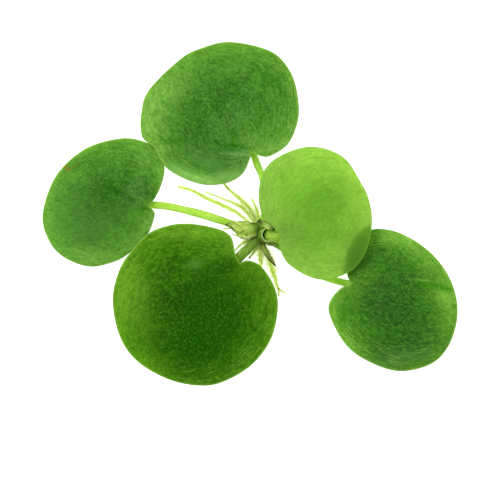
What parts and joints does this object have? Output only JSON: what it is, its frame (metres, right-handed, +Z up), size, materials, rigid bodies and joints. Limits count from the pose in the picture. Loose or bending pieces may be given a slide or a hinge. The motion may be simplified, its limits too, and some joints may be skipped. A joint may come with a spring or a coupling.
{
  "type": "amazon frogbit",
  "caption": "Floating water plant with round, thick, notched leaves on short stalks from a small crown with papery scales and fine hairy roots, lying flat.",
  "frame": {"origin": "on the resting surface, under the middle of the plant's box in plan", "axes": "+Z up, the side that the leaves face; +X along the plant's length, towards the leaf on the right"},
  "size_m": [0.079, 0.0653, 0.0056],
  "materials": {
    "leaf": "satin, waxy",
    "young_leaf": "satin, waxy",
    "stalk": "satin",
    "crown": "satin",
    "sheath": "satin",
    "scale": "papery",
    "root": "fine hairs"
  },
  "bodies": {
    "root": {"leaf_back": "leaf", "leaf_left": "leaf", "leaf_front": "leaf", "leaf_young": "young_leaf", "leaf_right": "leaf", "petiole_back": "stalk", "petiole_left": "stalk", "petiole_front": "stalk", "petiole_young": "stalk", "petiole_right": "stalk", "crown": "crown", "sheath": "sheath", "scale_left": "scale", "scale_top": "scale", "scale_front": "scale", "scale_right": "scale", "root_long": "root", "root_strand": "root", "root_back": "root", "root_pale": "root", "root_side_upper": "root", "root_side_lower": "root", "root_left": "root", "root_stub": "root", "root_front": "root", "root_forked": "root"}
  },
  "joints": []
}
